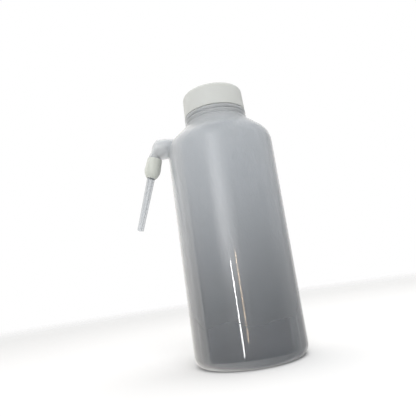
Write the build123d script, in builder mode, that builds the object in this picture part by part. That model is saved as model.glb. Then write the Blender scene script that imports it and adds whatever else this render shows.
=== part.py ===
from build123d import *
import math
import os

# Side-arm wash bottle: a squeeze bottle blown in one piece with its side arm, closed by a screw cap.
# Frame: origin at the centre of the base, where the bottle stands; +Z up the bottle's axis; arm towards -X.
# Sizes in millimetres.

# Bottle body
body_r = 37.5            # outside radius of the straight wall
wall = 1.2               # blown wall thickness
foot_width = 2.5         # width of the standing ring
push_up = 2.6            # height of the domed hollow under the base
dome_bulge = 0.65        # how far the dome stands out from a straight cone
heel_r = 7.0             # rounding between the standing ring and the wall
shoulder_z = 145.0       # height where the straight wall ends
shoulder_r = 13.0        # rounding between the wall and the shoulder cone
shoulder_slope = 42.0    # degrees of the shoulder cone above level
neck_foot_r = 2.4        # hollow rounding where the cone meets the neck

# Neck
neck_r = 19.3            # outside of the neck inside the cap, at the root of its thread
neck_wall = 1.7          # the mouth is moulded thicker than the blown wall
neck_h = 14.05           # from the top of the rings to the mouth rim
rim_r = 0.5              # rounding of the mouth rim
ring_step = 2.5          # how far the rings' roots stand out from the neck
ring_rise = 0.7          # how far a ring's crest stands out from its root
ring_pitch = 2.85        # height of one ring
ring_count = 2
ring_foot = 1.1757       # from the foot of the neck to the lowest ring

# Side arm, a hollow horn that swells towards a tight elbow
arm_rise = 8.0           # height of the arm's axis above the end of the straight wall
arm_start_in = 0.8       # the horn starts this far inside the rings' root radius
arm_root_in = 4.5        # it starts to swell this far inside the wall's radius
arm_swell_len = 7.0      # and is widest this much further out
arm_level_len = 2.9      # from there to the start of the elbow
arm_lean = 17.8          # degrees the arm's end leans outward from straight down
arm_swell = 2.9          # how much wider the arm is before the elbow than at its end
arm_waist = 1.2          # how much narrower it is where it leaves the shoulder
arm_wall = 1.0
taper_turn = 52.0        # degrees of the elbow over which the arm narrows
fold_r = 0.8             # radius of the tight inner side of the elbow
elbow_sections = 5
spigot_taper = 0.2       # how much the straight end narrows
spigot_len = 9.5         # straight end that the collar is pushed over
web_r = 4.0              # rounding where the arm grows out of the bottle

# Nozzle, measured along its own axis from the top of the collar
push_fit = 0.1           # gap between the collar and the spigot
grip_fit = 0.05          # gap between the collar and the jet tube
jet_fit = 0.5            # gap between the jet tube and the arm's bore
collar_stop = 0.4        # gap between the end of the spigot and the collar's inner step
collar_len = 14.7
collar_lip = 0.6         # wall at the top of the collar
collar_bulge = 0.5       # how much wider the collar is at its widest place
collar_wide_at = 8.6     # widest place
collar_nose_lip = 0.5    # how much wider its bottom is than the jet tube's inner end
jet_in_at = 2.5          # inner end of the jet tube
jet_tip_at = 53.7        # tip of the jet tube
jet_in_r = 3.1           # outside radius at the inner end
jet_tip_r = 2.25         # outside radius at the tip
jet_in_wall = 0.9
jet_tip_wall = 1.35
jet_tip_round = 0.7

# Draw tube
draw_fit = 0.4           # gap between the draw tube and the arm's bore
draw_wall = 0.9
draw_end_gap = 1.0       # gap between the draw tube's upper end and the jet tube
draw_lift = 0.3          # how far the bend in the elbow runs inside the middle of the arm
draw_bend_r = 8.5        # centreline radius of the bend down into the bottle
draw_side_gap = 3.7      # gap between the long leg and the wall
draw_foot_gap = 2.4      # gap between the tube's lowest point and the floor inside
draw_foot_slant = 40.0   # degrees of the slanted cut at the foot

# Screw cap and its liner
thread_room = 1.5        # room for the thread between the neck and the cap
cap_wall = 1.5
cap_draft = 0.4          # how much narrower the cap is at the top than at its rim
cap_top = 1.6            # thickness of the top
cap_edge_r = 2.6         # rounding of the top edge
cap_inner_r = 1.0        # rounding inside the top edge
cap_gap = 0.3            # gap between the cap's rim and the rings
liner_t = 1.1
liner_gap = 0.3          # gap round the liner inside the cap
seal_gap = 0.05          # gap between the liner and the mouth rim

# Neck and cap, worked out from the sizes above
cone = math.radians(shoulder_slope)
ring_root_r = neck_r + ring_step
ring_r = ring_root_r + ring_rise
bend_end_r = body_r - shoulder_r * (1 - math.sin(cone))
bend_end_z = shoulder_z + shoulder_r * math.cos(cone)
neck_foot_z = bend_end_z + (bend_end_r - ring_root_r) * math.tan(cone)
ring_z = neck_foot_z + ring_foot
rings_top = ring_z + ring_count * ring_pitch
mouth_z = rings_top + neck_h
cap_bore_r = neck_r + thread_room
cap_r = cap_bore_r + cap_wall
cap_top_r = cap_r - cap_draft
liner_z = mouth_z + seal_gap
ceiling_z = liner_z + liner_t

# Arm, nozzle and draw tube, worked out from the jet tube outward
arm_end_r = jet_in_r + jet_fit + arm_wall
arm_elbow_r = arm_end_r + arm_swell
arm_root_r = arm_elbow_r - arm_waist
spigot_r = arm_end_r - spigot_taper
arm_z = shoulder_z + arm_rise
arm_start_x = ring_root_r - arm_start_in
arm_root_x = body_r - arm_root_in
arm_swell_x = arm_root_x + arm_swell_len
elbow_x = arm_swell_x + arm_level_len
lean = math.radians(arm_lean)
end_turn = 90 - arm_lean
collar_top_r = arm_end_r + push_fit + collar_lip
collar_r = collar_top_r + collar_bulge
collar_nose_r = jet_in_r + collar_nose_lip
jet_bore_in_r = jet_in_r - jet_in_wall
jet_bore_tip_r = jet_tip_r - jet_tip_wall
draw_r = arm_end_r - arm_wall - draw_fit
draw_elbow_r = fold_r + arm_elbow_r - draw_lift
draw_leg_x = body_r - wall - draw_side_gap - draw_r


def body_outline(inset):
    """Adds the outline from the axis at the base up to the foot of the neck, moved inward by inset."""
    bend_end = (bend_end_r - inset * math.sin(cone), bend_end_z - inset * math.cos(cone))
    neck_x = ring_root_r - inset
    neck_foot = (neck_x, bend_end[1] + (bend_end[0] - neck_x) * math.tan(cone))
    foot_r = body_r - heel_r
    dome = SagittaArc((0, push_up + inset), (foot_r - foot_width, inset), dome_bulge)
    ring = Line(dome @ 1, (foot_r, inset))
    heel = TangentArc(ring @ 1, (body_r - inset, heel_r), tangent=(1, 0))
    side = Line(heel @ 1, (body_r - inset, shoulder_z))
    bend = TangentArc(side @ 1, bend_end, tangent=(0, 1))
    Line(bend @ 1, neck_foot)
    return neck_foot


def elbow_radius(turn):
    """Outside radius of the arm where it has turned down by turn degrees from level."""
    share = min(1, turn / taper_turn)
    return arm_end_r + (arm_elbow_r - arm_end_r) * (1 + math.cos(share * math.pi)) / 2


def elbow_plane(turn):
    """Plane across the arm where it has turned down by turn degrees around the fold on its inner side."""
    a = math.radians(turn)
    reach = fold_r + elbow_radius(turn)
    fold_z = arm_z - arm_elbow_r - fold_r
    return Plane(
        origin=(-elbow_x - reach * math.sin(a), 0, fold_z + reach * math.cos(a)),
        x_dir=(0, 1, 0),
        z_dir=(-math.cos(a), 0, -math.sin(a)),
    )


# The arm's level stretch has its axis along -X. The nozzle's axis starts at the end of the elbow and runs down
# and outward. On each half-section plane, x runs out from the axis; y runs along -X or down the nozzle's axis.
arm_axis = Axis((0, 0, arm_z), (-1, 0, 0))
arm_plane = Plane(origin=(0, 0, arm_z), x_dir=(0, 0, 1), z_dir=(0, -1, 0))
nozzle_axis = Axis(elbow_plane(end_turn).origin, (-math.sin(lean), 0, -math.cos(lean)))
nozzle_plane = Plane(
    origin=nozzle_axis.position,
    x_dir=(-math.cos(lean), 0, math.sin(lean)),
    z_dir=(0, -1, 0),
)


def level_arm(inset, mode):
    """Adds or cuts the arm's level stretch, moved inward by inset."""
    root_r = arm_root_r - inset
    elbow_r = arm_elbow_r - inset
    with BuildSketch(arm_plane) as half:
        with BuildLine():
            Polyline(
                (root_r, arm_root_x),
                (root_r, arm_start_x),
                (0, arm_start_x),
                (0, elbow_x),
                (elbow_r, elbow_x),
                (elbow_r, arm_swell_x),
            )
            Spline((elbow_r, arm_swell_x), (root_r, arm_root_x), tangents=[(0, -1), (0, -1)])
        make_face()
    revolve(half.sketch, axis=arm_axis, mode=mode)


def elbow_and_spigot(inset, mode):
    """Adds or cuts the elbow and the straight end that takes the collar, moved inward by inset."""
    turns = [end_turn * i / (elbow_sections - 1) for i in range(elbow_sections)]
    with BuildLine() as centreline:
        Spline([elbow_plane(turn).origin for turn in turns], tangents=[arm_axis.direction, nozzle_axis.direction])
    sections = []
    for turn in turns:
        with BuildSketch(elbow_plane(turn)) as section:
            Circle(elbow_radius(turn) - inset)
        sections.append(section.sketch)
    sweep(sections, path=centreline.line, multisection=True, mode=mode)
    with BuildSketch(nozzle_plane) as half:
        Polygon((0, 0), (arm_end_r - inset, 0), (spigot_r - inset, spigot_len), (0, spigot_len), align=None)
    revolve(half.sketch, axis=nozzle_axis, mode=mode)


# Bottle body, blown in one piece with its neck and side arm
with BuildPart() as bottle_body:
    with BuildSketch(Plane.XZ) as body_half:
        with BuildLine():
            neck_foot = body_outline(0)
            last = Line(neck_foot, (ring_root_r, ring_z)) @ 1
            for i in range(ring_count):
                low = ring_z + i * ring_pitch
                crest = ThreePointArc(
                    last,
                    (ring_r, low + ring_pitch / 2),
                    (ring_root_r, low + ring_pitch),
                )
                last = crest @ 1
            Polyline(last, (neck_r, rings_top), (neck_r, mouth_z), (0, mouth_z), (0, push_up))
        make_face()
        fillet(body_half.vertices().sort_by_distance(neck_foot)[0], neck_foot_r)
    revolve(axis=Axis.Z)
    level_arm(0, Mode.ADD)
    fillet(bottle_body.edges(Select.NEW), web_r)
    elbow_and_spigot(0, Mode.ADD)
    with BuildSketch(Plane.XZ) as hollow_half:
        with BuildLine():
            neck_foot = body_outline(wall)
            bore_r = neck_r - neck_wall
            step_z = rings_top - neck_wall
            Polyline(
                neck_foot,
                (ring_root_r - wall, step_z - neck_wall),
                (bore_r, step_z),
                (bore_r, mouth_z),
                (0, mouth_z),
                (0, push_up + wall),
            )
        make_face()
        fillet(hollow_half.vertices().sort_by_distance(neck_foot)[0], neck_foot_r + wall)
    revolve(axis=Axis.Z, mode=Mode.SUBTRACT)
    level_arm(arm_wall, Mode.SUBTRACT)
    elbow_and_spigot(arm_wall, Mode.SUBTRACT)
    rim = bottle_body.faces().filter_by(Axis.Z).sort_by(Axis.Z)[-1]
    fillet(rim.edges(), rim_r)
bottle_body.part.label = "bottle_body"


# Screw cap: a plain skirt with a slight draft and a rounded top edge
with BuildPart() as screw_cap:
    with BuildSketch(Plane.XZ) as cap_half:
        with BuildLine():
            rim_z = rings_top + cap_gap
            top_z = ceiling_z + cap_top
            Polyline(
                (0, ceiling_z),
                (cap_bore_r, ceiling_z),
                (cap_bore_r, rim_z),
                (cap_r, rim_z),
                (cap_top_r, top_z),
                (0, top_z),
                (0, ceiling_z),
            )
        make_face()
        fillet(cap_half.vertices().sort_by_distance((cap_top_r, top_z))[0], cap_edge_r)
        fillet(cap_half.vertices().sort_by_distance((cap_bore_r, ceiling_z))[0], cap_inner_r)
    revolve(axis=Axis.Z)
screw_cap.part.label = "screw_cap"


# Soft liner that seals the mouth rim, held in the top of the cap
with BuildPart() as cap_liner:
    with BuildSketch(Plane.XY.offset(liner_z)):
        Circle(cap_bore_r - cap_inner_r - liner_gap)
    extrude(amount=liner_t)
cap_liner.part.label = "cap_liner"


def jet_radius(at):
    """Outside radius of the tapered jet tube at a distance down the nozzle's axis."""
    return jet_in_r + (jet_tip_r - jet_in_r) * (at - jet_in_at) / (jet_tip_at - jet_in_at)


# Collar, pushed over the end of the arm and gripping the jet tube
with BuildPart() as nozzle_collar:
    with BuildSketch(nozzle_plane):
        with BuildLine():
            step_at = spigot_len + collar_stop
            socket_r = arm_end_r + push_fit
            socket_end_r = spigot_r + push_fit
            TangentArc((collar_r, collar_wide_at), (collar_top_r, 0), tangent=(0, -1))
            TangentArc((collar_r, collar_wide_at), (collar_nose_r, collar_len), tangent=(0, 1))
            Polyline(
                (collar_nose_r, collar_len),
                (jet_radius(collar_len) + grip_fit, collar_len),
                (jet_radius(step_at) + grip_fit, step_at),
                (socket_end_r, step_at),
                (socket_end_r, spigot_len),
                (socket_r, 0),
                (collar_top_r, 0),
            )
        make_face()
    revolve(axis=nozzle_axis)
nozzle_collar.part.label = "nozzle_collar"


# Jet tube, drawn to a fine bore at its rounded tip
with BuildPart() as jet_tube:
    with BuildSketch(nozzle_plane) as jet_half:
        with BuildLine():
            Polyline(
                (jet_bore_in_r, jet_in_at),
                (jet_in_r, jet_in_at),
                (jet_tip_r, jet_tip_at),
                (jet_bore_tip_r, jet_tip_at),
                (jet_bore_in_r, jet_in_at),
            )
        make_face()
        fillet(jet_half.vertices().sort_by_distance((jet_tip_r, jet_tip_at))[0], jet_tip_round)
    revolve(axis=nozzle_axis)
jet_tube.part.label = "jet_tube"


# Draw tube, pushed up into the arm, with its long leg beside the wall and a slanted foot
with BuildPart() as draw_tube:
    with BuildLine() as draw_path:
        upper_end = nozzle_axis.position + nozzle_axis.direction * (jet_in_at - draw_end_gap)
        bend_top = nozzle_axis.position + Vector(math.cos(lean), 0, -math.sin(lean)) * draw_elbow_r
        level_z = bend_top.Z + draw_elbow_r
        elbow_corner = (bend_top.X - draw_elbow_r * math.tan(math.radians(end_turn / 2)), 0, level_z)
        foot_z = wall + draw_foot_gap
        FilletPolyline(
            upper_end,
            elbow_corner,
            (-draw_leg_x, 0, level_z),
            (-draw_leg_x, 0, foot_z),
            radius=[draw_elbow_r, draw_bend_r],
        )
    for radius, mode in ((draw_r, Mode.ADD), (draw_r - draw_wall, Mode.SUBTRACT)):
        with BuildSketch(Plane(origin=upper_end, z_dir=nozzle_axis.direction)):
            Circle(radius)
        sweep(path=draw_path.line, mode=mode)
    slant = Plane(origin=(-draw_leg_x - draw_r, 0, foot_z), z_dir=(0, 0, 1)).rotated((0, -draw_foot_slant, 0))
    split(bisect_by=slant, keep=Keep.TOP)
draw_tube.part.label = "draw_tube"


os.makedirs("parts", exist_ok=True)
for piece in (bottle_body, screw_cap, cap_liner, nozzle_collar, jet_tube, draw_tube):
    export_step(piece.part, f"parts/{piece.part.label}.step")
    print(piece.part.label, round(piece.part.volume / 1000, 2), "cm3")
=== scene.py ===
# %% [markdown]
# # A side-arm wash bottle
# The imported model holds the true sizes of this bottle. Here each of its six pieces is modelled again as a
# fine mesh, in the same place, and gets the finish that the real plastic has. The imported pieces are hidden
# behind them.

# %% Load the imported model
import math

import bmesh
import bpy
from mathutils import Matrix, Vector


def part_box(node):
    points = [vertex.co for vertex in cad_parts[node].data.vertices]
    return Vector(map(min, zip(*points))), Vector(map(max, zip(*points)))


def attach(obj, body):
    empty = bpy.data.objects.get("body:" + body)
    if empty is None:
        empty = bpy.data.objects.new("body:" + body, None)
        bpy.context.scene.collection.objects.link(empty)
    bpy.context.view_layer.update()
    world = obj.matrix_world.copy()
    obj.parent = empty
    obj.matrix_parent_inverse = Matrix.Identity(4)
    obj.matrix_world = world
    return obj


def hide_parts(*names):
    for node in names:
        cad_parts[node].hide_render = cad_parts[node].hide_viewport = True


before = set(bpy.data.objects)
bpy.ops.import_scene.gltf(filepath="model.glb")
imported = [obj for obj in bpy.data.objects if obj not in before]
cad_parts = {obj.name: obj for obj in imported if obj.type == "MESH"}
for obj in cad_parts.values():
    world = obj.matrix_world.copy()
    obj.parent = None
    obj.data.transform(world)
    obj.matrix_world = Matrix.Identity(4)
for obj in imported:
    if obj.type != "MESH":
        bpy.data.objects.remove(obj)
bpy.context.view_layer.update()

MM = 0.001
print("packed nodes", sorted(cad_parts))

# %% [markdown]
# ## The camera
# The picture was taken from close by, a little above the foot of the bottle, looking up and with the camera
# turned a few degrees, so that the bottle leans to the left. A camera needs a place, a point to aim at, a
# roll about its line of sight and a lens. With its sensor as wide as the picture, the lens is all that sets
# the angle of view.

# %% Place the camera
SENSOR = 36.0
LENS = 34.43
CAMERA_PLACE = Vector((-4.71, -276.54, 50.5)) * MM
CAMERA_AIM = Vector((-14.67, 0, 104.58)) * MM
CAMERA_ROLL = math.radians(-8.21)

camera_data = bpy.data.cameras.new("camera")
camera_data.lens = LENS
camera_data.sensor_width = SENSOR
camera_data.clip_start = 0.01
camera = bpy.data.objects.new("camera", camera_data)
bpy.context.scene.collection.objects.link(camera)
aim = (CAMERA_AIM - CAMERA_PLACE).to_track_quat("-Z", "Y").to_matrix().to_4x4()
camera.matrix_world = Matrix.Translation(CAMERA_PLACE) @ aim @ Matrix.Rotation(CAMERA_ROLL, 4, "Z")
bpy.context.scene.camera = camera
print("camera", round((CAMERA_AIM - CAMERA_PLACE).length, 3), "m from the point it aims at")

# %% [markdown]
# ## Tools for turned shapes
# Nearly every piece of a bottle is round, so it can be made as on a lathe: a half outline is drawn as a
# chain of vertices and spun about the axis. The chain starts as one vertex of a primitive, which is
# extruded from point to point. Straight lines and arcs are sampled by two small functions, so an outline
# stays a short list of corners.

# %% Draw lines and arcs
def span(low, high, share):
    """The value that lies a share of the way from low to high."""
    return low + (high - low) * share


def line(start, end, steps):
    """Points from start up to, but without, end."""
    return [tuple(span(a, b, i / steps) for a, b in zip(start, end)) for i in range(steps)]


def arc(centre, radius, from_deg, to_deg, steps):
    """Points on an arc, without its last one."""
    angles = [math.radians(span(from_deg, to_deg, i / steps)) for i in range(steps)]
    return [(centre[0] + radius * math.cos(a), centre[1] + radius * math.sin(a)) for a in angles]


print("a quarter circle in four steps", [tuple(round(v, 2) for v in p) for p in arc((0, 0), 1, 0, 90, 4)])


# %% Start a piece, pull its outline and spin it
ROUND = 144
MERGE = 0.002 * MM


def start_piece(name, add=bpy.ops.mesh.primitive_circle_add, **where):
    """Adds a primitive as a new object, with nothing else selected, and enters edit mode."""
    bpy.ops.object.select_all(action="DESELECT")
    add(**where)
    piece = bpy.context.object
    piece.name = piece.data.name = name
    bpy.ops.object.mode_set(mode="EDIT")
    return piece


def trace(points):
    """Leaves one vertex of the primitive, puts it on the first point and pulls it along the others."""
    mesh = bmesh.from_edit_mesh(bpy.context.object.data)
    bmesh.ops.delete(mesh, geom=list(mesh.verts)[1:], context="VERTS")
    mesh.verts.ensure_lookup_table()
    mesh.verts[0].co = points[0]
    mesh.verts[0].select_set(True)
    bmesh.update_edit_mesh(bpy.context.object.data)
    for here, there in zip(points, points[1:]):
        step = tuple(b - a for a, b in zip(here, there))
        bpy.ops.mesh.extrude_region_move(TRANSFORM_OT_translate={"value": step})


def turn_piece(name, outline, origin=(0, 0, 0), axis=(0, 0, 1), out=(1, 0, 0), closed=False, steps=ROUND):
    """Spins a half outline of (radius, distance along the axis), in millimetres. Stays in edit mode."""
    origin, axis, out = Vector(origin) * MM, Vector(axis), Vector(out)
    points = [tuple(origin + (out * r + axis * s) * MM) for r, s in outline]
    piece = start_piece(name, vertices=3, radius=MM)
    trace(points + points[:1] if closed else points)
    bpy.ops.mesh.select_all(action="SELECT")
    bpy.ops.mesh.spin(steps=steps, angle=2 * math.pi, center=origin, axis=axis)
    merge_all()
    return piece


def merge_all():
    """Merges vertices that lie on each other and turns all faces outwards."""
    bpy.ops.mesh.select_all(action="SELECT")
    bpy.ops.mesh.remove_doubles(threshold=MERGE)
    bpy.ops.mesh.normals_make_consistent(inside=False)


# %% Finish a piece and measure it
SMOOTH_DEG = 35


def finish_piece(piece):
    """Leaves edit mode, smooths the shading below that angle and says how large the mesh is."""
    merge_all()
    bpy.ops.object.mode_set(mode="OBJECT")
    bpy.ops.object.shade_smooth_by_angle(angle=math.radians(SMOOTH_DEG))
    counts = bmesh.new()
    counts.from_mesh(piece.data)
    open_edges = sum(not e.is_manifold for e in counts.edges)
    volume = counts.calc_volume(signed=True) / MM**3
    counts.free()
    print(f"{piece.name}: {len(piece.data.polygons)} faces, {open_edges} open edges, {volume:.0f} mm3")
    return piece


# %% [markdown]
# ## Sizes
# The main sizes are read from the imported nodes, so the meshes keep to them. The rest are the same values
# that the solids were made with, in millimetres.

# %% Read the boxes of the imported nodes
body_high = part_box("bottle_body")[1] / MM
cap_low, cap_high = (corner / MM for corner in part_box("screw_cap"))
liner_low, liner_high = (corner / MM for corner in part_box("cap_liner"))
print(f"body {body_high.y * 2:.1f} mm across, mouth at {body_high.z:.2f} mm")

# %% Name the sizes of the body
BODY_R = body_high.y
WALL = 1.2
MOUTH_Z = body_high.z
PUSH_UP = 2.6
HEEL_R = 7.0
FOOT_R = BODY_R - HEEL_R
FOOT_WIDTH = 2.5
SHOULDER_Z = 145.0
SHOULDER_R = 13.0
SHOULDER_SLOPE = 42.0
RING_R = 22.5
RING_ROOT_R = 21.8
RING_PITCH = 2.85
RING_COUNT = 2
RING_Z = 166.1
RINGS_TOP = RING_Z + RING_COUNT * RING_PITCH
NECK_FOOT_R = 2.4
NECK_R = 19.3
NECK_WALL = 1.7
RIM_R = 0.5

# %% Name the sizes of the arm
ARM_Z = 153.0
ELBOW_X = 42.9
ELBOW_R = 7.5
ARM_END_R = 4.6
ARM_WALL = 1.0
TAPER_TURN = 52.0
FOLD_R = 0.8
LEAN = math.radians(17.8)
END_TURN = 90 - math.degrees(LEAN)
SPIGOT_R = 4.4
SPIGOT_LEN = 9.5
print(f"the arm's end leans {math.degrees(LEAN):.1f} degrees outward and is {SPIGOT_R * 2:.1f} mm across")

# %% [markdown]
# ## The blown body
# A blown bottle is one skin of plastic: base, wall, shoulder, neck and arm. Its two faces, outside and
# inside, are made one after the other by the same function and joined at the mouth rim and at the arm's
# open end. Solidify would be quicker, but it gives one thickness all over, and the moulded neck is thicker
# than the blown wall.

# %% Draw the shoulder and wall of one face of the skin
DOME_STEPS = 14
FOOT_STEPS = 3
HEEL_STEPS = 12
WALL_STEPS = 84
BEND_STEPS = 10
CONE_STEPS = 11
NECK_FOOT_STEPS = 6


def shoulder_outline(inset):
    """Base, heel, wall and shoulder up to the foot of the neck, moved inward by inset."""
    foot = (FOOT_R, inset)
    ring_in = FOOT_R - FOOT_WIDTH
    dome = [(ring_in * t, inset + PUSH_UP * (1 - t**3)) for t in (i / DOME_STEPS for i in range(DOME_STEPS))]
    slope = math.radians(SHOULDER_SLOPE)
    bend_r = SHOULDER_R - inset
    bend_x = BODY_R - SHOULDER_R
    bend_end = (bend_x + bend_r * math.sin(slope), SHOULDER_Z + bend_r * math.cos(slope))
    neck_x = RING_ROOT_R - inset
    foot_r = NECK_FOOT_R + inset
    corner_z = bend_end[1] + (bend_end[0] - neck_x) * math.tan(slope)
    reach = foot_r * math.tan((math.pi / 2 - slope) / 2)
    foot_centre = (neck_x + foot_r, corner_z + reach)
    cone_end = (neck_x + reach * math.cos(slope), corner_z - reach * math.sin(slope))
    return (
        dome
        + line((ring_in, inset), foot, FOOT_STEPS)
        + arc((FOOT_R, HEEL_R), HEEL_R - inset, -90, 0, HEEL_STEPS)
        + line((BODY_R - inset, HEEL_R), (BODY_R - inset, SHOULDER_Z), WALL_STEPS)
        + arc((bend_x, SHOULDER_Z), bend_r, 0, 90 - SHOULDER_SLOPE, BEND_STEPS)
        + line(bend_end, cone_end, CONE_STEPS)
        + arc(foot_centre, foot_r, 270 - SHOULDER_SLOPE, 180, NECK_FOOT_STEPS)
    )


print("shoulder outline", len(shoulder_outline(0)), "points")


# %% Draw the neck of both faces
RING_STEPS = 10
RING_BLUNT = 0.6
SHELF_FALL = 0.2
SHELF_RISE = 0.05
ROOT_CHAMFER = 0.4
ROOT_CHAMFER_Z = 0.5
STEP_EASE = 0.6


def outside_outline():
    """The outside face, with the rings under the cap and the neck inside it."""
    points = shoulder_outline(0)
    bulge = RING_R - RING_ROOT_R
    for i in range(RING_COUNT):
        for k in range(RING_STEPS):
            lift = math.sin(math.pi * k / RING_STEPS) ** RING_BLUNT
            points.append((RING_ROOT_R + bulge * lift, RING_Z + RING_PITCH * (i + k / RING_STEPS)))
    shelf_z, root_z = RINGS_TOP + SHELF_RISE, RINGS_TOP + ROOT_CHAMFER_Z
    points += [(RING_ROOT_R, RINGS_TOP), (RING_ROOT_R - SHELF_FALL, shelf_z)]
    points += line((NECK_R + ROOT_CHAMFER, shelf_z), (NECK_R, root_z), 3)
    points += line((NECK_R, root_z), (NECK_R, MOUTH_Z - RIM_R), 36)
    points += arc((NECK_R - RIM_R, MOUTH_Z - RIM_R), RIM_R, 0, 90, 4)
    return points + [(NECK_R - NECK_WALL / 2, MOUTH_Z)]


def inside_outline():
    """The inside face, which steps in to the thicker neck."""
    bore_r = NECK_R - NECK_WALL
    step_low = RINGS_TOP - 2 * NECK_WALL - STEP_EASE
    step_high = RINGS_TOP - NECK_WALL + STEP_EASE
    return (
        shoulder_outline(WALL)
        + line((RING_ROOT_R - WALL, step_low), (bore_r, step_high), 6)
        + line((bore_r, step_high), (bore_r, MOUTH_Z - RIM_R), 12)
        + arc((bore_r + RIM_R, MOUTH_Z - RIM_R), RIM_R, 180, 90, 4)
        + [(NECK_R - NECK_WALL / 2, MOUTH_Z)]
    )


print("outline points", len(outside_outline()), "outside,", len(inside_outline()), "inside")

# %% [markdown]
# ## The side arm
# The arm is a hollow horn that grows out of the shoulder, swells and turns down in a tight elbow. Its rings
# are extruded one by one and turned about the fold on the elbow's inner side. An oval hole is opened in the
# shoulder, and the bridge operator draws the web between them: its Surface interpolation leaves each side
# along its own slope, as the plastic does where the mould flares.

# %% Open the shoulder where the arm grows out
HOLE_Z = 151.3           # middle of the oval
HOLE_HIGH = 9.9          # half its height
HOLE_WIDE = 9.4          # half its width


def radius_at(outline, z):
    """Radius of the turned face at a height on the shoulder or wall."""
    for (r0, z0), (r1, z1) in zip(outline, outline[1:]):
        if z0 <= z < z1 and z > HEEL_R:
            return span(r0, r1, (z - z0) / (z1 - z0))
    return BODY_R


def open_hole(mesh, outline):
    """Deletes the faces inside the oval, and eases the edge left onto the oval."""
    inside = []
    for face in mesh.faces:
        c = face.calc_center_median() / MM
        if c.x < 0 and (c.y / HOLE_WIDE) ** 2 + ((c.z - HOLE_Z) / HOLE_HIGH) ** 2 < 1:
            inside.append(face)
    bmesh.ops.delete(mesh, geom=inside, context="FACES")
    edge = [v for v in mesh.verts if v.is_boundary and v.co.x < 0 and v.co.z < RING_Z * MM]
    edge.sort(key=lambda v: math.atan2(v.co.y / HOLE_WIDE, v.co.z - HOLE_Z * MM))
    first = math.atan2(edge[0].co.y / HOLE_WIDE, (edge[0].co.z - HOLE_Z * MM) / HOLE_HIGH)
    for i, vert in enumerate(edge):
        turn = first + 2 * math.pi * i / len(edge)
        y, z = HOLE_WIDE * math.sin(turn), HOLE_Z + HOLE_HIGH * math.cos(turn)
        vert.co = Vector((-math.sqrt(radius_at(outline, z) ** 2 - y**2), y, z)) * MM
    return len(edge)


print(f"the wall is {radius_at(outside_outline(), HOLE_Z):.1f} mm from the axis at the middle of the oval")


# %% Say where the middle of the arm runs, and how wide it is
WEB_TOP_X = 30.2         # the web ends here on top of the arm
WEB_FOOT_X = 41.2        # and here below it
ARM_ROOT_X = 33.0
ARM_ROOT_R = 6.3
ARM_SWELL_X = 40.0


def elbow_radius(turn):
    """Radius of the arm where it has turned down by turn degrees."""
    share = min(1, turn / TAPER_TURN)
    return span(ARM_END_R, ELBOW_R, (1 + math.cos(share * math.pi)) / 2)


def elbow_centre(turn):
    """Centre of the arm's section there, in millimetres."""
    reach = FOLD_R + elbow_radius(turn)
    fold_z = ARM_Z - ELBOW_R - FOLD_R
    a = math.radians(turn)
    return Vector((-ELBOW_X - reach * math.sin(a), 0, fold_z + reach * math.cos(a)))


NOZZLE_START = elbow_centre(END_TURN)
NOZZLE_AXIS = Vector((-math.sin(LEAN), 0, -math.cos(LEAN)))
NOZZLE_OUT = Vector((-math.cos(LEAN), 0, math.sin(LEAN)))


def across(centre, radius, turn):
    """A circle across the arm, as a function from a share of the way round to a point."""
    up = Vector((-math.sin(math.radians(turn)), 0, math.cos(math.radians(turn))))
    side = Vector((0, 1, 0))
    return lambda t: centre + (up * math.cos(2 * math.pi * t) + side * math.sin(2 * math.pi * t)) * radius


def root_x(t):
    """How far from the bottle's axis the web ends on the arm, a share t of the way round from the top."""
    return span(WEB_FOOT_X, WEB_TOP_X, (1 + math.cos(2 * math.pi * t)) / 2)


def level_radius(x):
    """Radius of the level part of the arm, which swells towards the elbow."""
    share = min(1, max(0, (x - ARM_ROOT_X) / (ARM_SWELL_X - ARM_ROOT_X)))
    return span(ARM_ROOT_R, ELBOW_R, (3 - 2 * share) * share**2)


def level_ring(share, inset):
    """A ring on the level arm, from the slanted end of the web (0) to the start of the elbow (1)."""
    def place(t):
        x = span(root_x(t), ELBOW_X, share)
        radius = level_radius(x) - inset
        return Vector((-x, radius * math.sin(2 * math.pi * t), ARM_Z + radius * math.cos(2 * math.pi * t)))
    return place


print("the nozzle starts at", [round(v, 2) for v in NOZZLE_START])


# %% Extrude the arm ring by ring and bridge its web
LEVEL_STEPS = 8
ELBOW_STEPS = 18
SPIGOT_STEPS = 4
WEB_CUTS = 10
WEB_INNER_X = 10         # the web's edges lie further than this from the bottle's axis


def pull_ring(places, ring_place):
    """Extrudes the selected ring once and puts each new vertex where ring_place says, by its number."""
    bpy.ops.mesh.extrude_region_move()
    mesh = bmesh.from_edit_mesh(bpy.context.object.data)
    order = {tuple(place): i for i, place in enumerate(places)}
    ring = sorted((v for v in mesh.verts if v.select), key=lambda v: order[tuple(v.co)])
    for i, vert in enumerate(ring):
        vert.co = ring_place(i / len(ring)) * MM
    bmesh.update_edit_mesh(bpy.context.object.data)
    return [vert.co.copy() for vert in ring]


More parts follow.
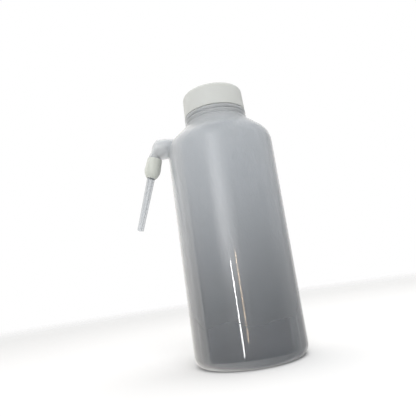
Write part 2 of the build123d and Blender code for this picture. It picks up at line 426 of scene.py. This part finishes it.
def grow_arm(outline, inset):
    """Opens the shoulder, extrudes the arm ring by ring and bridges the web. Edit mode, in place."""
    data = bpy.context.object.data
    mesh = bmesh.from_edit_mesh(data)
    count = open_hole(mesh, outline)
    bmesh.update_edit_mesh(data)
    bpy.ops.mesh.select_all(action="DESELECT")
    bpy.ops.mesh.primitive_circle_add(vertices=count, radius=MM)
    mesh = bmesh.from_edit_mesh(data)
    ring = sorted((v for v in mesh.verts if v.select), key=lambda v: math.atan2(v.co.y, v.co.x))
    for i, vert in enumerate(ring):
        vert.co = level_ring(0, inset)(i / count) * MM
    places = [vert.co.copy() for vert in ring]
    bmesh.update_edit_mesh(data)
    for k in range(1, LEVEL_STEPS + 1):
        places = pull_ring(places, level_ring(k / LEVEL_STEPS, inset))
    for k in range(1, ELBOW_STEPS + 1):
        turn = END_TURN * k / ELBOW_STEPS
        places = pull_ring(places, across(elbow_centre(turn), elbow_radius(turn) - inset, turn))
    for k in range(1, SPIGOT_STEPS + 1):
        share = k / SPIGOT_STEPS
        centre = NOZZLE_START + NOZZLE_AXIS * SPIGOT_LEN * share
        places = pull_ring(places, across(centre, span(ARM_END_R, SPIGOT_R, share) - inset, END_TURN))
    mesh = bmesh.from_edit_mesh(data)
    bpy.ops.mesh.select_all(action="DESELECT")
    for edge in mesh.edges:
        at_web = all(WEB_INNER_X < -v.co.x / MM < ELBOW_X and v.co.z / MM < RING_Z for v in edge.verts)
        if edge.is_boundary and at_web:
            edge.select_set(True)
    bmesh.update_edit_mesh(data)
    bpy.ops.mesh.bridge_edge_loops(number_cuts=WEB_CUTS, interpolation="SURFACE", smoothness=1.0)
    return count


# %% Turn the two faces of the skin and join them
outside = turn_piece("bottle", outside_outline())
print("arm ring", grow_arm(outside_outline(), 0), "vertices outside")
bpy.ops.object.mode_set(mode="OBJECT")
inside = turn_piece("bottle_inside", inside_outline())
print("arm ring", grow_arm(inside_outline(), ARM_WALL), "vertices inside")
bpy.ops.object.mode_set(mode="OBJECT")

outside.select_set(True)
bpy.context.view_layer.objects.active = outside
bpy.ops.object.join()
bottle = bpy.context.object
bpy.ops.object.mode_set(mode="EDIT")
merge_all()
bpy.ops.mesh.select_all(action="DESELECT")
bpy.ops.mesh.select_non_manifold()
bpy.ops.mesh.bridge_edge_loops()
finish_piece(bottle)
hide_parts("bottle_body")
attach(bottle, "bottle")

# %% [markdown]
# ## The cap
# The real cap is a moulded cup with a plain skirt, a soft top edge and a little draft, so that it leaves
# its mould. It could be a cylinder with bevels, but its inside matters too, because it shows when the cap
# is lifted. So its whole section is drawn, from the ceiling out over the rim and back to the top, and
# turned like the body.

# %% Turn the cap
CAP_R = cap_high.y
CAP_DRAFT = 0.4
CAP_TOP_R = CAP_R - CAP_DRAFT
CAP_WALL = 1.5
CAP_EDGE_R = 2.6
CAP_INNER_R = 1.0
CAP_RIM_R = 0.25
POLE_R = 0.01
cap_bore = CAP_R - CAP_WALL
ceiling = liner_high.z
cap_outline = (
    [(0, ceiling)]
    + line((POLE_R, ceiling), (cap_bore - CAP_INNER_R, ceiling), 8)
    + arc((cap_bore - CAP_INNER_R, ceiling - CAP_INNER_R), CAP_INNER_R, 90, 0, 6)
    + line((cap_bore, ceiling - CAP_INNER_R), (cap_bore, cap_low.z), 24)
    + line((cap_bore, cap_low.z), (CAP_R - CAP_RIM_R, cap_low.z), 3)
    + arc((CAP_R - CAP_RIM_R, cap_low.z + CAP_RIM_R), CAP_RIM_R, -90, 0, 4)
    + line((CAP_R, cap_low.z + CAP_RIM_R), (CAP_TOP_R, cap_high.z - CAP_EDGE_R), 14)
    + arc((CAP_TOP_R - CAP_EDGE_R, cap_high.z - CAP_EDGE_R), CAP_EDGE_R, 0, 90, 10)
    + line((CAP_TOP_R - CAP_EDGE_R, cap_high.z), (POLE_R, cap_high.z), 12)
    + [(0, cap_high.z)]
)
cap = finish_piece(turn_piece("cap", cap_outline))
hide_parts("screw_cap")
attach(cap, "cap")

# %% [markdown]
# ## The liner
# A soft foamed disc lies in the top of the cap and seals the mouth. It is cut from sheet, so its edge is
# only slightly rounded, and a turned outline with two small arcs says that best.

# %% Turn the liner
LINER_EDGE = 0.25
liner_r = liner_high.y
liner_outline = (
    [(0, liner_low.z)]
    + line((POLE_R, liner_low.z), (liner_r - LINER_EDGE, liner_low.z), 8)
    + arc((liner_r - LINER_EDGE, liner_low.z + LINER_EDGE), LINER_EDGE, -90, 0, 4)
    + arc((liner_r - LINER_EDGE, liner_high.z - LINER_EDGE), LINER_EDGE, 0, 90, 4)
    + line((liner_r - LINER_EDGE, liner_high.z), (POLE_R, liner_high.z), 8)
    + [(0, liner_high.z)]
)
liner = finish_piece(turn_piece("liner", liner_outline))
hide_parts("cap_liner")
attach(liner, "seal")

# %% [markdown]
# ## The collar and the jet tube
# A milky collar is pushed over the arm's end, and a clear tapered tube is held in its foot. Both are turned
# pieces on a leaning axis. They could be made upright and turned into place, but an outline that is spun
# about the leaning axis itself stands right from the start, and keeps the object's place in its mesh.

# %% Name the nozzle's sizes, measured along its own axis
PUSH_FIT = 0.1
GRIP_FIT = 0.05
COLLAR_STOP = 0.4
COLLAR_LEN = 14.7
COLLAR_TOP_R = 5.3
COLLAR_R = 5.8
COLLAR_WIDE_AT = 8.6
COLLAR_NOSE_R = 3.6
JET_IN_AT = 2.5
JET_TIP_AT = 53.7
JET_IN_R = 3.1
JET_TIP_R = 2.25
JET_BORE_IN_R = 2.2
JET_BORE_TIP_R = 0.9
JET_TIP_ROUND = 0.7


def jet_radius(at):
    """Outside radius of the tapered jet tube at a distance down the nozzle's axis."""
    return span(JET_IN_R, JET_TIP_R, (at - JET_IN_AT) / (JET_TIP_AT - JET_IN_AT))


def bow(start, end, bulge, steps):
    """Points of a shallow curve that leaves its first point along the axis."""
    shares = [i / steps for i in range(steps)]
    return [(span(start[0], end[0], t**bulge), span(start[1], end[1], t)) for t in shares]


print(f"the jet tube is {jet_radius(COLLAR_LEN) * 2:.1f} mm across where it leaves the collar")

# %% Turn the collar
TOP_EASE = 0.2
NOSE_EASE = 0.3
step_at = SPIGOT_LEN + COLLAR_STOP
grip = jet_radius(COLLAR_LEN) + GRIP_FIT
collar_outline = (
    line((COLLAR_TOP_R, 0.15), (COLLAR_R, COLLAR_WIDE_AT), 12)
    + bow((COLLAR_R, COLLAR_WIDE_AT), (COLLAR_NOSE_R + 0.1, COLLAR_LEN - NOSE_EASE), 2.0, 14)
    + line((COLLAR_NOSE_R + 0.1, COLLAR_LEN - NOSE_EASE), (COLLAR_NOSE_R - 0.2, COLLAR_LEN), 2)
    + line((COLLAR_NOSE_R - 0.2, COLLAR_LEN), (grip, COLLAR_LEN), 2)
    + line((grip, COLLAR_LEN), (jet_radius(step_at) + GRIP_FIT, step_at), 4)
    + line((jet_radius(step_at) + GRIP_FIT, step_at), (SPIGOT_R + PUSH_FIT, step_at), 3)
    + line((SPIGOT_R + PUSH_FIT, step_at), (ARM_END_R + PUSH_FIT, 0.1), 8)
    + line((ARM_END_R + PUSH_FIT, 0.1), (COLLAR_TOP_R - TOP_EASE, 0), 2)
    + [(COLLAR_TOP_R - TOP_EASE, 0)]
)
nozzle_place = {"origin": NOZZLE_START, "axis": NOZZLE_AXIS, "out": NOZZLE_OUT, "closed": True, "steps": 72}
collar = finish_piece(turn_piece("collar", collar_outline, **nozzle_place))
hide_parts("nozzle_collar")
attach(collar, "nozzle")

# %% Turn the jet tube
tip_round = (JET_TIP_R - JET_TIP_ROUND, JET_TIP_AT - JET_TIP_ROUND)
jet_outline = (
    line((JET_IN_R, JET_IN_AT), (JET_TIP_R, tip_round[1]), 40)
    + arc(tip_round, JET_TIP_ROUND, 0, 90, 8)
    + line((tip_round[0], JET_TIP_AT), (JET_BORE_TIP_R, JET_TIP_AT), 3)
    + line((JET_BORE_TIP_R, JET_TIP_AT), (JET_BORE_IN_R, JET_IN_AT), 30)
    + line((JET_BORE_IN_R, JET_IN_AT), (JET_IN_R, JET_IN_AT), 3)
)
jet = finish_piece(turn_piece("jet", jet_outline, **nozzle_place))
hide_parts("jet_tube")
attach(jet, "nozzle")

# %% [markdown]
# ## The screw thread
# The cap climbs 4 mm a turn on a blunt thread, which shows as the cap is lifted. A ridge could be swept
# along a helix curve. Here it is one small closed outline that the Screw modifier carries round the axis
# while it climbs, which keeps the section upright. The cap's ridge runs half a pitch above the neck's, so
# the two pass each other.

# %% Wind the two ridges
PITCH = 4.0
RIDGE_TURNS = 1.5
RIDGE_FOOT = 0.9
RIDGE_CREST = 0.35
NECK_CREST_R = 20.25
CAP_CREST_R = 19.7
RIDGE_SINK = 0.06
THREAD_START = 2.6
THREAD_Z = RINGS_TOP + THREAD_START


def wind_ridge(name, root_r, crest_r, start_z):
    """A ridge from root_r to crest_r that climbs with the thread."""
    corners = [(root_r, -RIDGE_FOOT), (crest_r, -RIDGE_CREST), (crest_r, RIDGE_CREST), (root_r, RIDGE_FOOT)]
    points = [(r * MM, 0, (start_z + up) * MM) for r, up in corners]
    ridge = start_piece(name, vertices=3, radius=MM)
    trace(points + points[:1])
    merge_all()
    bpy.ops.object.mode_set(mode="OBJECT")
    climb = ridge.modifiers.new("climb", "SCREW")
    climb.axis = "Z"
    climb.angle = 2 * math.pi * RIDGE_TURNS
    climb.screw_offset = PITCH * RIDGE_TURNS * MM
    climb.steps = climb.render_steps = int(ROUND * RIDGE_TURNS)
    climb.use_merge_vertices = False
    bpy.ops.object.modifier_apply(modifier=climb.name)
    bpy.ops.object.mode_set(mode="EDIT")
    bpy.ops.mesh.select_all(action="DESELECT")
    bpy.ops.mesh.select_non_manifold()
    bpy.ops.mesh.edge_face_add()
    return finish_piece(ridge)


neck_ridge = wind_ridge("neck_ridge", NECK_R - RIDGE_SINK, NECK_CREST_R, THREAD_Z)
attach(neck_ridge, "bottle")
cap_ridge = wind_ridge("cap_ridge", cap_bore + RIDGE_SINK, CAP_CREST_R, THREAD_Z + PITCH / 2)
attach(cap_ridge, "cap")

# %% [markdown]
# ## The draw tube
# The draw tube runs from the floor of the bottle up beside the wall, over a bend and into the arm. A curve
# with a bevel would be quicker, but it has no wall and no slanted foot. So a ring is extruded along the
# path, its foot is cut to a slant, and its wall comes from Solidify, which suits a tube because its wall is
# even.

# %% Lay out the draw tube's path
DRAW_R = 3.2
DRAW_WALL = 0.9
DRAW_END_GAP = 1.0
DRAW_ELBOW_R = 8.0
DRAW_BEND_R = 8.5
DRAW_LEG_X = 29.4
DRAW_FOOT_Z = WALL + 2.4
DRAW_SLANT = math.radians(40)
DRAW_SIDES = 40
DRAW_ELBOW_STEPS = 16
DRAW_BEND_STEPS = 20
DRAW_LEG_STEPS = 30

bend_top = NOZZLE_START - NOZZLE_OUT * DRAW_ELBOW_R
level_z = bend_top.z + DRAW_ELBOW_R
upper_end = NOZZLE_START + NOZZLE_AXIS * (JET_IN_AT - DRAW_END_GAP)
leg_top = Vector((-DRAW_LEG_X - DRAW_BEND_R, 0, level_z - DRAW_BEND_R))
path = [(upper_end, END_TURN)]
for i in range(DRAW_ELBOW_STEPS + 1):
    turn = END_TURN * (1 - i / DRAW_ELBOW_STEPS)
    a = math.radians(turn)
    path.append((bend_top + Vector((-math.sin(a), 0, math.cos(a))) * DRAW_ELBOW_R, turn))
for i in range(1, DRAW_BEND_STEPS + 1):
    turn = 90 * i / DRAW_BEND_STEPS
    a = math.radians(turn)
    path.append((leg_top + Vector((math.sin(a), 0, math.cos(a))) * DRAW_BEND_R, -turn))
foot_place = Vector((-DRAW_LEG_X, 0, DRAW_FOOT_Z + DRAW_R * math.tan(DRAW_SLANT)))
leg_start = path[-1][0]
for i in range(1, DRAW_LEG_STEPS + 1):
    path.append((leg_start.lerp(foot_place, i / DRAW_LEG_STEPS), -90))
run = sum((there[0] - here[0]).length for here, there in zip(path, path[1:]))
print(f"the draw tube is {run:.0f} mm long")

# %% Extrude the draw tube along its path
draw = start_piece("draw", vertices=DRAW_SIDES, radius=MM)
mesh = bmesh.from_edit_mesh(draw.data)
ring = sorted(mesh.verts, key=lambda v: math.atan2(v.co.y, v.co.x))
upper_ring = across(path[0][0], DRAW_R, path[0][1])
for i, vert in enumerate(ring):
    vert.co = upper_ring(i / DRAW_SIDES) * MM
places = [vert.co.copy() for vert in ring]
bmesh.update_edit_mesh(draw.data)
for centre, turn in path[1:]:
    places = pull_ring(places, across(centre, DRAW_R, turn))
mesh = bmesh.from_edit_mesh(draw.data)
for vert in mesh.verts:
    if vert.select:
        vert.co.z += (vert.co.x + DRAW_LEG_X * MM) * math.tan(DRAW_SLANT)
bmesh.update_edit_mesh(draw.data)
merge_all()
bpy.ops.object.mode_set(mode="OBJECT")
shell = draw.modifiers.new("wall", "SOLIDIFY")
shell.thickness = DRAW_WALL * MM
shell.offset = -1
bpy.ops.object.modifier_apply(modifier=shell.name)
bpy.ops.object.mode_set(mode="EDIT")
finish_piece(draw)
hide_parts("draw_tube")
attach(draw, "bottle")

# %% [markdown]
# ## Shader maths as plain expressions
# A material here is a small formula. It could be wired by hand, socket by socket, but then the formula is
# hard to see. The first class below wraps a socket, so that + and * between values add Math nodes by
# themselves. The second holds the nodes of a material or of the surroundings, and one method adds any other
# node with its settings and inputs.

# %% Wrap a socket, so that formulas can be written
class Value:
    """A number that varies over a surface, held by an output socket."""

    def __init__(self, shader, socket):
        self.shader, self.socket = shader, socket

    def __add__(self, other):
        return self.shader.math("ADD", self, other)

    def __radd__(self, other):
        return self.shader.math("ADD", other, self)

    def __mul__(self, other):
        return self.shader.math("MULTIPLY", self, other)

    def __rmul__(self, other):
        return self.shader.math("MULTIPLY", other, self)

    def __sub__(self, other):
        return self.shader.math("SUBTRACT", self, other)

    def __rsub__(self, other):
        return self.shader.math("SUBTRACT", other, self)

    def __truediv__(self, other):
        return self.shader.math("DIVIDE", self, other)

    def __rtruediv__(self, other):
        return self.shader.math("DIVIDE", other, self)


# %% Hold the nodes of a material
class Shader:
    """The nodes of a material or of the surroundings."""

    def __init__(self, owner):
        owner.use_nodes = True
        self.owner, self.tree = owner, owner.node_tree
        self.tree.nodes.clear()

    def node(self, kind, settings={}, inputs={}, output=0):
        """Adds a node: its settings first, then a value or a link on each named socket."""
        node = self.tree.nodes.new(kind)
        for key, value in settings.items():
            setattr(node, key, value)
        for key, value in inputs.items():
            if isinstance(value, Value):
                self.tree.links.new(value.socket, node.inputs[key])
            else:
                node.inputs[key].default_value = value
        return Value(self, node.outputs[output]) if node.outputs else None

    def math(self, operation, *values):
        return self.node("ShaderNodeMath", {"operation": operation}, dict(enumerate(values)))

    def split(self, vector):
        """The three numbers of a vector."""
        return [self.node("ShaderNodeSeparateXYZ", {}, {0: vector}, axis) for axis in range(3)]

    def place(self):
        """The point on the surface, in metres."""
        return self.node("ShaderNodeTexCoord", output="Object")

    def fade(self, value, low, high):
        """0 below low and 1 above high, with a soft step between them."""
        settings = {"interpolation_type": "SMOOTHSTEP"}
        return self.node("ShaderNodeMapRange", settings, {"Value": value, "From Min": low, "From Max": high})

    def noise(self, where, scale, detail=2.0, stretch=(1, 1, 1)):
        """Noise of about one blob per metre over scale, stretched by a Mapping node."""
        mapped = self.node("ShaderNodeMapping", {}, {"Vector": where, "Scale": stretch})
        return self.node("ShaderNodeTexNoise", {}, {"Vector": mapped, "Scale": scale, "Detail": detail})

    def mix(self, share, first, second):
        """A colour between two colours."""
        return self.node("ShaderNodeMix", {"data_type": "RGBA"}, {0: share, 6: first, 7: second}, 2)

    def bump(self, height, distance):
        return self.node("ShaderNodeBump", {}, {"Height": height, "Distance": distance})

    def coat(self, *pieces, **sockets):
        """Gives the pieces a Principled shader with the named sockets."""
        inputs = {key.replace("_", " "): value for key, value in sockets.items()}
        shader = self.node("ShaderNodeBsdfPrincipled", {}, inputs)
        self.node("ShaderNodeOutputMaterial", {}, {"Surface": shader})
        for piece in pieces:
            piece.data.materials.append(self.owner)
        print(f"{self.owner.name}: {len(self.tree.nodes)} nodes on {len(pieces)} pieces")


def new_shader(name):
    """The empty nodes of a new material."""
    return Shader(bpy.data.materials.new(name))


# %% [markdown]
# ## Milky blown plastic
# Polyethylene is hazy: light goes in, scatters and comes out soft, and only strong shapes behind it show
# through. A path tracer can follow that light through the wall, but it is slow and noisy. Here the skin is
# partly clear by its Alpha, so the draw tube and the rings behind show faintly, and the rest is a soft
# grey-white with a gloss. Shade is painted into its colour: the wall is painted dark and greyish near the
# base, for the shade under the bottle, and paler towards the shoulder. Light is painted on the neck and the
# arm, which are paler still; they are also a little clearer.

# %% Colour the skin by its height and place, with painted shade and painted light
skin = new_shader("blown_plastic")
where = skin.place()
x, y, z = skin.split(where)
# painted shade: this share makes the colour darker towards the base, for the shade under the bottle
painted_shade_height = skin.fade(z, 0, 150 * MM)
neck_share = skin.fade(z, 148 * MM, 168 * MM)
arm_share = skin.fade(-1 * x, 30 * MM, 44 * MM) * skin.fade(z, 100 * MM, 120 * MM)
# painted light: the neck and the arm are painted paler, for the light that comes through them; the same
# share also makes them clearer and less glossy
painted_light_and_clear_share = neck_share + arm_share - neck_share * arm_share
cloud = skin.noise(where, 28, 3)
# painted shade: dark near the base, paler up the wall
milk_and_painted_shading = skin.mix(painted_shade_height, (0.07, 0.078, 0.085, 1), (0.41, 0.44, 0.465, 1))
milk_and_painted_shading = skin.mix(cloud * 0.2, milk_and_painted_shading, (0.36, 0.38, 0.45, 1))
# painted light: paler neck and arm
milk_and_painted_shading = skin.mix(painted_light_and_clear_share * 0.7, milk_and_painted_shading, (0.66, 0.68, 0.69, 1))
print("colour nodes", len(skin.tree.nodes))

# %% [markdown]
# ## The skin's surface
# The mould leaves a fine pebbled face, which is what breaks up the long highlights on the wall. It is far
# finer than the mesh, so it is bump: small blobs that are rougher above the base, and long shallow ripples.
# The gloss is a coat, because a hazy body under a clear bright layer is what the eye sees in polished
# plastic.

# %% Add the pebbles and the gloss
PEBBLE_FROM = 50 * MM
PEBBLE_TO = 85 * MM
pebbles = skin.noise(where, 520, 2, stretch=(1, 1, 0.5))
ripples = skin.noise(where, 60, 1, stretch=(1, 1, 2.5))
rough_share = skin.fade(z, PEBBLE_FROM, PEBBLE_TO)
height = pebbles * (rough_share * 3.0 + 0.12) + ripples * 0.8
skin.coat(
    bottle,
    neck_ridge,
    # the base colour holds the painted shade near the base and the painted light on the neck and the arm
    Base_Color=milk_and_painted_shading,
    Roughness=0.40,
    IOR=1.5,
    Alpha=0.58 - 0.12 * painted_light_and_clear_share,
    Subsurface_Weight=0.5,
    Subsurface_Radius=(1, 1, 1),
    Subsurface_Scale=0.003,
    Coat_Weight=1.0 - 0.55 * painted_light_and_clear_share,
    Coat_IOR=1.9,
    Coat_Roughness=0.05,
    Normal=skin.bump(height, 0.16 * MM),
)

# %% [markdown]
# ## The cap's plastic
# The cap is creamy white polypropylene, closed to light but soft, because a little light still goes under
# its face. A plain white would look like paint. Two close tones drift over it, light scatters a little
# below the surface, and a very fine grain keeps its highlights broad.

# %% Make the cap's plastic
creamy = new_shader("cap_plastic")
where = creamy.place()
creamy.coat(
    cap,
    cap_ridge,
    Base_Color=creamy.mix(creamy.noise(where, 60), (0.476, 0.488, 0.470, 1), (0.527, 0.540, 0.527, 1)),
    Roughness=0.45,
    Subsurface_Weight=0.4,
    Subsurface_Radius=(1, 1, 1),
    Subsurface_Scale=0.002,
    Normal=creamy.bump(creamy.noise(where, 900), 0.03 * MM),
)

# %% [markdown]
# ## The liner's foam
# Foamed polyethylene is matt and white, with cells of half a millimetre. They could be modelled as dents,
# but the liner is only seen from below in the lifted cap, so a fine noise in the bump is enough.

# %% Make the liner's foam
foam = new_shader("liner_foam")
where = foam.place()
foam.coat(
    liner,
    Base_Color=(0.8, 0.8, 0.79, 1),
    Roughness=0.8,
    Normal=foam.bump(foam.noise(where, 2500, 1), 0.06 * MM),
)

# %% [markdown]
# ## The collar's plastic
# The collar is thicker than the bottle's wall and a little yellowish, with a mottled middle where the jet
# tube shows through. It is nearly closed by its Alpha, and a noise of two tones makes the mottling.

# %% Make the collar's plastic
milky = new_shader("collar_plastic")
where = milky.place()
milky.coat(
    collar,
    Base_Color=milky.mix(milky.noise(where, 160, 3), (0.50, 0.52, 0.475, 1), (0.66, 0.68, 0.64, 1)),
    Roughness=0.3,
    Alpha=0.85,
    Subsurface_Weight=0.4,
    Subsurface_Radius=(1, 1, 1),
    Subsurface_Scale=0.002,
    Normal=milky.bump(milky.noise(where, 500), 0.06 * MM),
)

# %% [markdown]
# ## Clear and hazy tubes
# The jet tube is clear, so it is seen mostly by its edges, where the eye looks along the wall. Real
# refraction in so thin a tube is noisy and picks up the whole room. A Layer Weight node gives the same
# edge: nearly open where the wall faces the eye and denser where it turns away. The draw tube is hazy and
# only glimpsed through the skin.

# %% Make the clear jet tube
clear = new_shader("jet_plastic")
edge = clear.node("ShaderNodeLayerWeight", {}, {"Blend": 0.5}, "Facing")
clear.coat(
    jet,
    Base_Color=(0.34, 0.37, 0.40, 1),
    Roughness=0.15,
    Alpha=edge * 0.5 + 0.2,
    Coat_Weight=1.0,
    Coat_Roughness=0.03,
)

# %% Make the draw tube's plastic
hazy = new_shader("tube_plastic")
hazy.coat(
    draw,
    Base_Color=hazy.mix(hazy.noise(hazy.place(), 200), (0.42, 0.43, 0.42, 1), (0.52, 0.53, 0.52, 1)),
    Roughness=0.3,
    Alpha=0.6,
)

# %% [markdown]
# ## The floor
# A pale floor carries the soft shadow at the bottle's foot. A floor that simply ends would draw a horizon
# across the picture. A curved backdrop would hide it, but here the floor thins out with its distance, so
# that only the pale surroundings are left where it ends.

# %% Lay the floor
FLOOR_R = 1.6
FLOOR_FADE_FROM = 0.25
FLOOR_FADE_TO = 0.9 * FLOOR_R
floor = start_piece("floor", vertices=96, radius=FLOOR_R, fill_type="NGON")
bpy.ops.object.mode_set(mode="OBJECT")
ground = new_shader("floor")
far = ground.node("ShaderNodeVectorMath", {"operation": "LENGTH"}, {0: ground.place()}, "Value")
matt = ground.node("ShaderNodeBsdfDiffuse", {}, {"Color": (0.72, 0.72, 0.72, 1)})
gone = ground.node("ShaderNodeBsdfTransparent")
share_gone = ground.fade(far, FLOOR_FADE_FROM, FLOOR_FADE_TO)
both = ground.node("ShaderNodeMixShader", {}, {0: share_gone, 1: matt, 2: gone})
ground.node("ShaderNodeOutputMaterial", {}, {"Surface": both})
floor.data.materials.append(ground.owner)
floor.visible_glossy = False
floor.visible_shadow = False
print(f"the floor is {FLOOR_R * 2:.1f} m across and fades from {FLOOR_FADE_FROM} m out")

# %% [markdown]
# ## The surroundings
# Glossy plastic shows the room it stands in, so the room is what draws the soft bands on the wall. It could
# be built of white cards, but a formula on the direction does the same with nothing in the way of other
# views. The eye itself sees plain white.

# %% Write the room as a formula of the direction
world = bpy.data.worlds.new("surroundings")
bpy.context.scene.world = world
sky = Shader(world)
side, back, up = sky.split(sky.node("ShaderNodeTexCoord"))
left = 1 - sky.fade(side, -0.2, 0.2)
behind = sky.fade(back, -0.02, 0.04)
table = 1 - sky.fade(up, -0.50, -0.42)
glow_reach = sky.math("ABSOLUTE", side / back - 0.27)
glow = (1 - sky.fade(glow_reach, 0.0, 0.55)) * sky.fade(up, -0.05, 0.12) * (1 - sky.fade(up, 0.16, 0.60))
front = sky.fade(up, -0.2, 0.6) * 0.45 + 0.25 + glow * 1.9 + table * 1.0
front = front * (1.2 - 0.4 * sky.fade(side, -0.6, 0.6))
print("nodes for the front of the room", len(sky.tree.nodes))

# %% Add the wall behind the bottle
NEAR_STRIPE = 0.02
FAR_STRIPE = 0.41
near = 1 - sky.fade(sky.math("ABSOLUTE", back - NEAR_STRIPE), 0.0, 0.04)
distant = 1 - sky.fade(sky.math("ABSOLUTE", back - FAR_STRIPE), 0.0, 0.05)
rear = left * 0.75 + 0.50 + (near + distant) * 0.7
room = front + (rear - front) * behind
seen = sky.node("ShaderNodeLightPath")
light = room + (1.0 - room) * seen
tint = sky.mix(behind * left * (1 - seen), (1, 1, 1, 1), (1, 0.97, 0.93, 1))
shine = sky.node("ShaderNodeBackground", {}, {"Color": tint, "Strength": light})
sky.node("ShaderNodeOutputWorld", {}, {"Surface": shine})
print("nodes for the whole room", len(sky.tree.nodes))

# %% [markdown]
# ## The lamps
# Two broad lamps light the bottle softly from above. They are kept out of its reflections, where their
# corners would show on the shoulder. Two tall thin lamps in front do the opposite: they give little light
# and are there for the bright streaks, one white and one warm, that run down the wall.

# %% Hang the lamps
def soft_light(name, place, aim_at, size, power, colour=(1, 1, 1), mirrored=True):
    """A rectangular lamp at a place, turned to a point, with or without its reflection."""
    data = bpy.data.lights.new(name, "AREA")
    data.shape = "RECTANGLE"
    data.size, data.size_y = size
    data.energy = power
    data.color = colour
    lamp = bpy.data.objects.new(name, data)
    bpy.context.scene.collection.objects.link(lamp)
    turn = (Vector(aim_at) - Vector(place)).to_track_quat("-Z", "Y")
    lamp.matrix_world = Matrix.Translation(place) @ turn.to_matrix().to_4x4()
    lamp.visible_glossy = mirrored
    print(f"{name}: {power} W, {size[0]} by {size[1]} m")


soft_light("key", (0.1, -0.75, 1.0), (0, 0, 0.1), (0.7, 0.5), 7, mirrored=False)
soft_light("top", (0.2, 0.1, 0.9), (0, 0, 0.1), (0.7, 0.7), 4, mirrored=False)
soft_light("white strip", (-0.17, -0.70, -0.01), (0, 0, 0), (0.016, 0.22), 0.36)
soft_light("warm strip", (-0.03, -0.72, 0.02), (0, 0, 0.02), (0.010, 0.20), 0.12, (1, 0.75, 0.5))
bpy.context.scene.view_settings.view_transform = "Standard"
